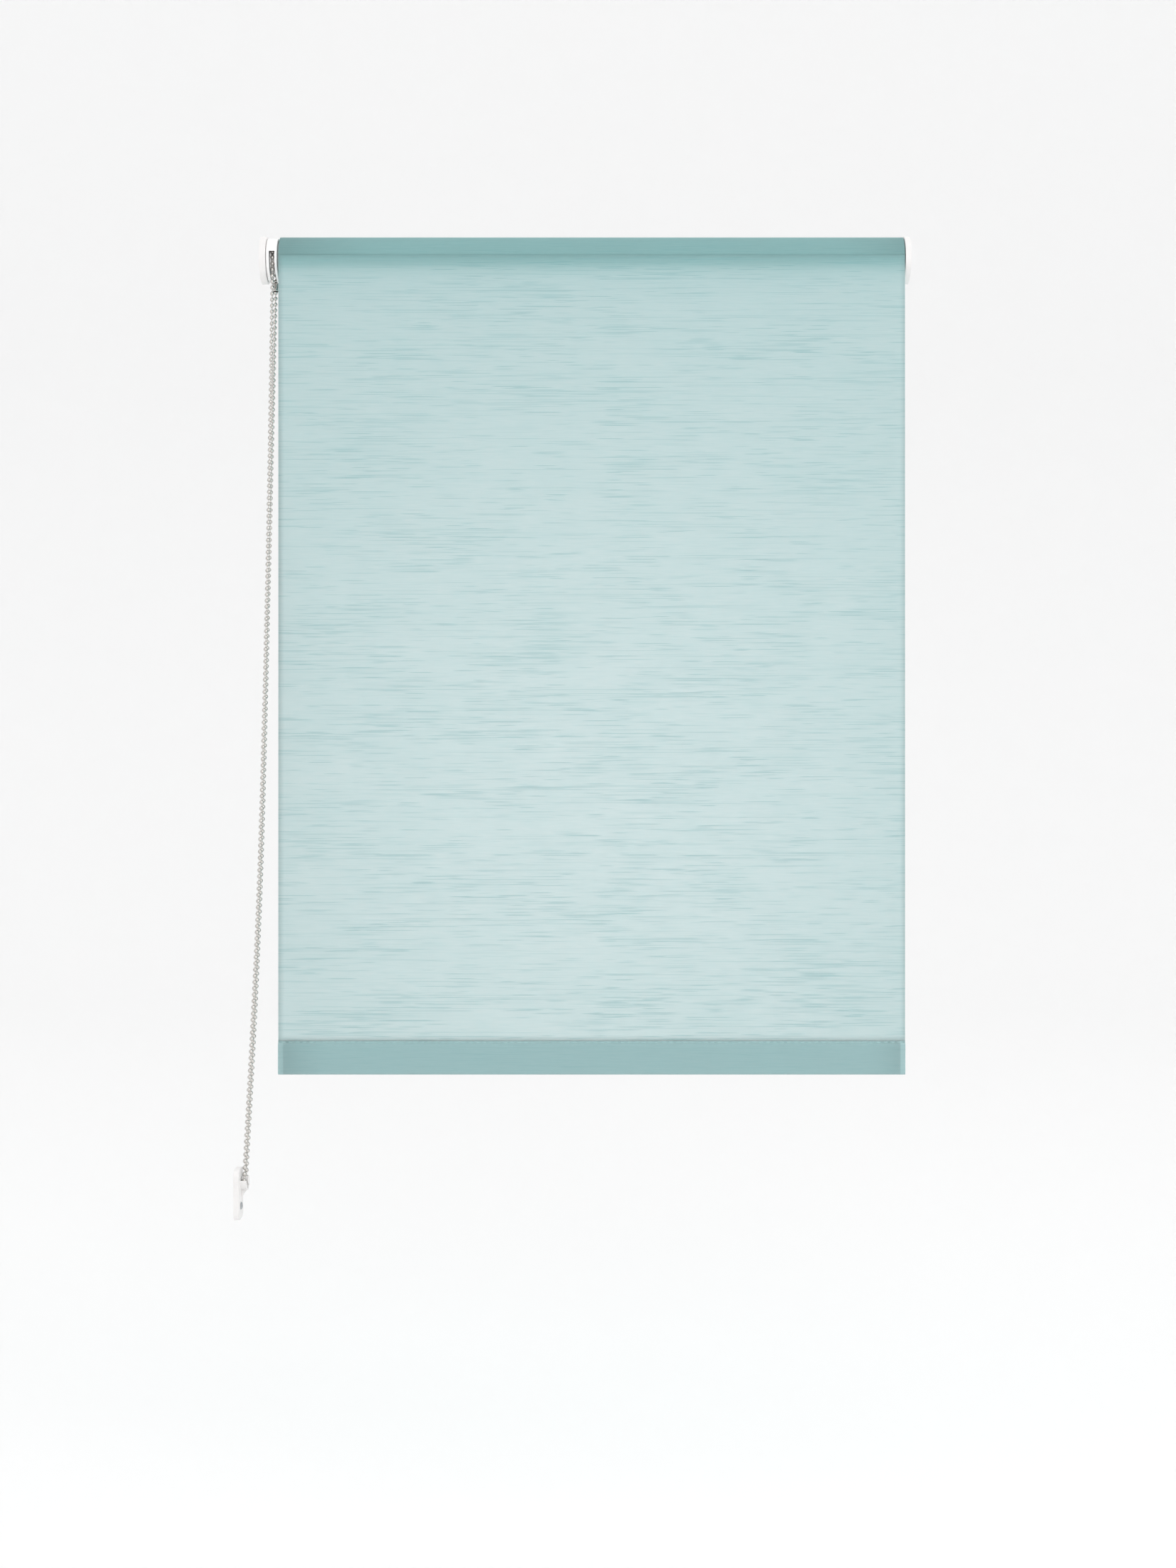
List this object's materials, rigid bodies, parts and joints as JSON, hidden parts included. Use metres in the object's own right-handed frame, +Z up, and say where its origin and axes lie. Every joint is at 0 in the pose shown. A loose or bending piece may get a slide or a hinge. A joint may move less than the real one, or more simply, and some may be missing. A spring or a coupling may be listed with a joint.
{
  "type": "roller blind",
  "caption": "Chain-operated roller blind for a window reveal: tube, sheer slubbed fabric, weighted hem, chain drive with guard, sprung idle end and a chain tidy on the wall.",
  "frame": {"origin": "on the roller's axis, midway between the two faces that the brackets meet the reveal with", "axes": "+X along the roller towards the idle end, +Z up, -Y towards the room"},
  "size_m": [0.642, 0.1992, 0.9427],
  "materials": {
    "fabric": "sheer plain weave with darker slub threads, pale aqua",
    "white_plastic": "moulded, soft sheen",
    "grey_plastic": "moulded, glass filled",
    "black_plastic": "moulded nylon",
    "zinc_steel": "zinc plated",
    "spring_steel": "oiled wire",
    "aluminium": "mill extruded",
    "nickel": "nickel-plated steel beads"
  },
  "bodies": {
    "fixed": {"control_bracket": "zinc_steel", "control_screw_upper": "zinc_steel", "control_screw_lower": "zinc_steel", "control_cover": "white_plastic", "chain_guard": "white_plastic", "clutch_hub": "grey_plastic", "hub_washer": "zinc_steel", "hub_screw": "zinc_steel", "idle_bracket": "zinc_steel", "idle_screw_upper": "zinc_steel", "idle_screw_lower": "zinc_steel", "idle_cover": "white_plastic", "idle_bush": "black_plastic", "tidy_base": "white_plastic", "tidy_post": "white_plastic", "tidy_screw": "zinc_steel", "chain_front": "nickel", "chain_loop": "nickel", "chain_rear": "nickel", "chain_wrap": "nickel", "fabric_panel": "fabric"},
    "roller": {"drive_crown": "grey_plastic", "roller_tube": "aluminium", "fabric_spline": "grey_plastic", "fabric_roll": "fabric", "idle_plug": "grey_plastic", "idle_spring": "spring_steel"},
    "drive_wheel": {"chain_wheel": "white_plastic", "wrap_spring_1": "spring_steel", "wrap_spring_2": "spring_steel"},
    "hem": {"bottom_bar": "aluminium", "hem_pocket": "fabric"},
    "joiner": {"chain_joiner": "nickel"},
    "pin": {"idle_pin": "zinc_steel"}
  },
  "joints": [
    {"name": "roller_turn", "type": "hinge", "parent": "fixed", "child": "roller", "pos_m": [0, 0, 0], "axis": [-1, 0, 0], "range_deg": [0, 1954.29]},
    {"name": "wheel_turn", "type": "hinge", "parent": "fixed", "child": "drive_wheel", "pos_m": [-0.3087, 0, 0], "axis": [-1, 0, 0], "range_deg": [0, 1954.29]},
    {"name": "hem_lift", "type": "slide", "parent": "fixed", "child": "hem", "axis": [0, 0, 1], "range_m": [0, 0.7504], "deforming": ["fabric_panel"]},
    {"name": "joiner_travel", "type": "slide", "parent": "fixed", "child": "joiner", "axis": [-0.005, -0.1294, -0.9916], "range_m": [0, 0.456]},
    {"name": "pin_press", "type": "slide", "parent": "roller", "child": "pin", "axis": [-1, 0, 0], "range_m": [0, 0.0085], "stiffness_N_per_m": 500, "springref_m": -0.006, "deforming": ["idle_spring"]}
  ],
  "couplings": [
    {"joint": "wheel_turn", "follows": "roller_turn", "ratio": 1},
    {"joint": "hem_lift", "follows": "roller_turn", "m_per_rad": 0.022},
    {"joint": "joiner_travel", "follows": "roller_turn", "m_per_rad": 0.013369}
  ]
}
